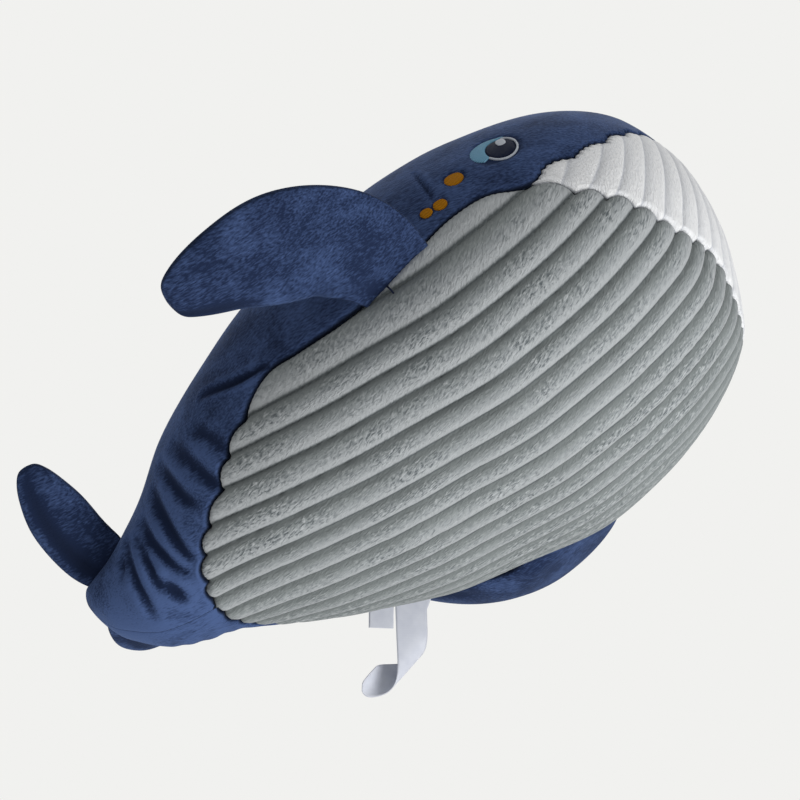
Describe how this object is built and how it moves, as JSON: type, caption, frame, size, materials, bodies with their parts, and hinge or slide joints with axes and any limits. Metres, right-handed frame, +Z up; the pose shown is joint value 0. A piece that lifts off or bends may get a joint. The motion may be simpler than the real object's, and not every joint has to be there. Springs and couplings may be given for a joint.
{
  "type": "plush whale",
  "caption": "Stuffed plush whale with navy back, ribbed grey belly, white ribbed muzzle, side fins, tail fluke and sewn-in labels.",
  "frame": {"origin": "middle of the small flat that the belly rests on", "axes": "-Y towards the head, +X towards the whale's left side, +Z up"},
  "size_m": [0.3892, 0.4, 0.2149],
  "materials": {
    "grey_ribbed_plush": "short-pile ribbed plush",
    "white_ribbed_plush": "short-pile ribbed plush",
    "navy_plush": "short-pile plush",
    "fibre_filling": "loose fibre",
    "navy_thread": "satin stitch",
    "white_thread": "satin stitch",
    "pale_blue_thread": "satin stitch",
    "ochre_thread": "satin stitch",
    "label_cloth": "satin ribbon, unprinted"
  },
  "bodies": {
    "body": {"belly_panel": "grey_ribbed_plush", "muzzle_panel": "white_ribbed_plush", "back_panel_right": "navy_plush", "back_panel_left": "navy_plush", "body_stuffing": "fibre_filling", "right_eye_ring": "white_thread", "right_eye_shade": "pale_blue_thread", "right_pupil": "navy_thread", "right_eye_highlight": "white_thread", "right_large_dot": "ochre_thread", "right_middle_dot": "ochre_thread", "right_small_dot": "ochre_thread", "left_eye_ring": "white_thread", "left_eye_shade": "pale_blue_thread", "left_pupil": "navy_thread", "left_eye_highlight": "white_thread", "left_large_dot": "ochre_thread", "left_middle_dot": "ochre_thread", "left_small_dot": "ochre_thread", "closing_stitch": "navy_thread"},
    "right_fin": {"right_fin_upper_panel": "navy_plush", "right_fin_lower_panel": "navy_plush", "right_fin_stuffing": "fibre_filling"},
    "left_fin": {"left_fin_upper_panel": "navy_plush", "left_fin_lower_panel": "navy_plush", "left_fin_stuffing": "fibre_filling"},
    "right_fluke_lobe": {"right_fluke_lobe_upper_panel": "navy_plush", "right_fluke_lobe_lower_panel": "navy_plush", "right_fluke_lobe_stuffing": "fibre_filling"},
    "left_fluke_lobe": {"left_fluke_lobe_upper_panel": "navy_plush", "left_fluke_lobe_lower_panel": "navy_plush", "left_fluke_lobe_stuffing": "fibre_filling"},
    "care_label": {"care_label": "label_cloth"},
    "side_tag": {"side_tag": "label_cloth"}
  },
  "joints": [
    {"name": "right_fin_bend", "type": "hinge", "parent": "body", "child": "right_fin", "pos_m": [-0.11204, -0.01663, 0.07962], "axis": [0.1184, 0.9523, -0.2814], "range_deg": [-58, 45], "stiffness_Nm_per_rad": 0.08},
    {"name": "left_fin_bend", "type": "hinge", "parent": "body", "child": "left_fin", "pos_m": [0.11204, -0.01663, 0.07962], "axis": [0.1184, -0.9523, 0.2814], "range_deg": [-82, 21], "stiffness_Nm_per_rad": 0.08},
    {"name": "right_fluke_lobe_bend", "type": "hinge", "parent": "body", "child": "right_fluke_lobe", "pos_m": [-0.02135, 0.2091, 0.07549], "axis": [0.4403, 0.8652, -0.24], "range_deg": [-35, 35], "stiffness_Nm_per_rad": 0.03},
    {"name": "left_fluke_lobe_bend", "type": "hinge", "parent": "body", "child": "left_fluke_lobe", "pos_m": [0.02135, 0.2091, 0.07549], "axis": [0.4403, -0.8652, 0.24], "range_deg": [-35, 35], "stiffness_Nm_per_rad": 0.03},
    {"name": "care_label_bend", "type": "hinge", "parent": "body", "child": "care_label", "pos_m": [0.08989, 0.08087, 0.06736], "axis": [0.4172, -0.8385, 0.3505], "range_deg": [-35, 35], "stiffness_Nm_per_rad": 0.001},
    {"name": "side_tag_bend", "type": "hinge", "parent": "body", "child": "side_tag", "pos_m": [0.08071, 0.0989, 0.05953], "axis": [0.4747, -0.802, 0.3625], "range_deg": [-35, 35], "stiffness_Nm_per_rad": 0.0003}
  ]
}
